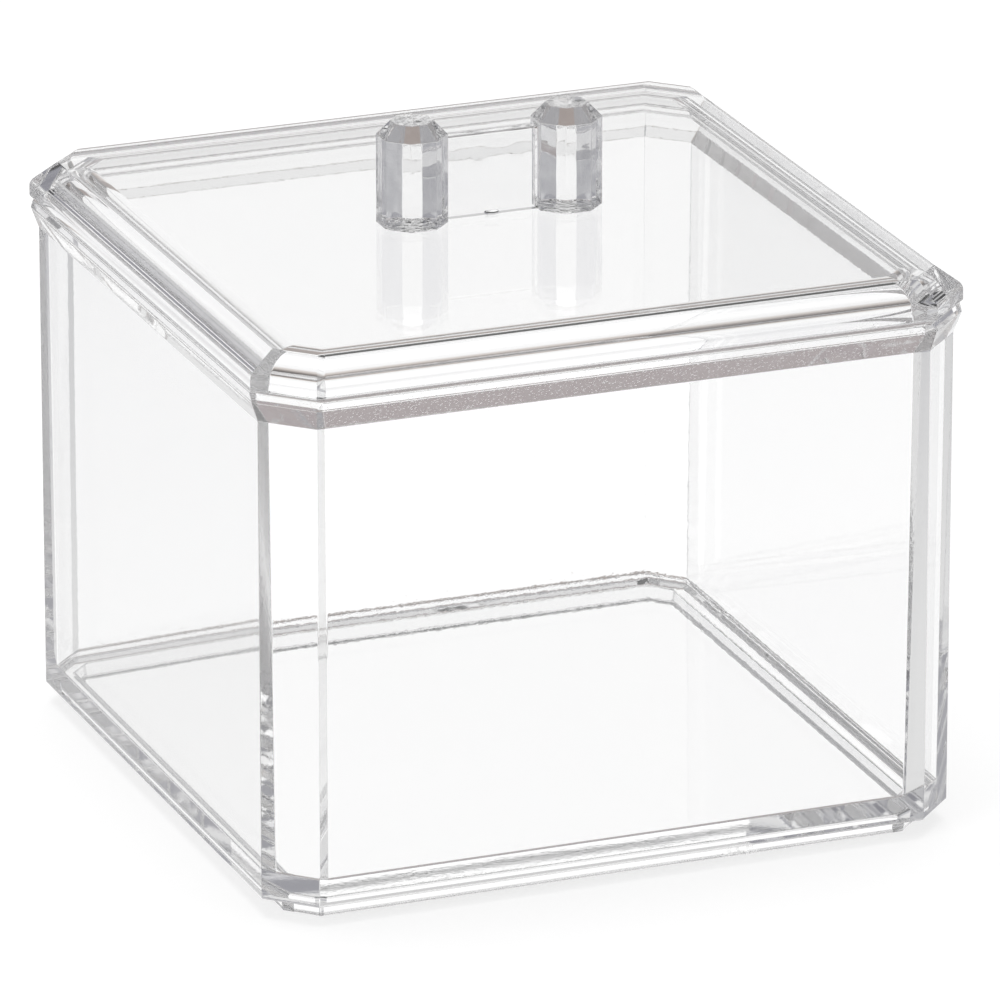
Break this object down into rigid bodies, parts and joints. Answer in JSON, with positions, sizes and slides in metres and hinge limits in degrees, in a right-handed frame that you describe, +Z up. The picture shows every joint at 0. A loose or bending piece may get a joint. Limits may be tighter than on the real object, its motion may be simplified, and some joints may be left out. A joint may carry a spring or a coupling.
{
  "type": "storage box with lid",
  "caption": "Clear moulded storage box with cut corners, a flared rim and a lift-off lid that is held by a handle of two faceted posts and a web.",
  "frame": {"origin": "centre of the footprint, on the surface that the foot stands on", "axes": "+Z up, the handle's two posts lie along X, the front face looks along -Y"},
  "size_m": [0.1024, 0.1024, 0.0945],
  "materials": {
    "clear_body": "clear moulded acrylic, polished",
    "clear_lid": "clear moulded acrylic, polished",
    "clear_handle": "clear moulded acrylic, polished"
  },
  "bodies": {
    "box": {"box_body": "clear_body"},
    "lid": {"lid": "clear_lid", "lid_handle": "clear_handle"}
  },
  "joints": [
    {"name": "lid_lift", "type": "slide", "parent": "box", "child": "lid", "axis": [0, 0, 1], "range_m": [0, 0.12]}
  ]
}
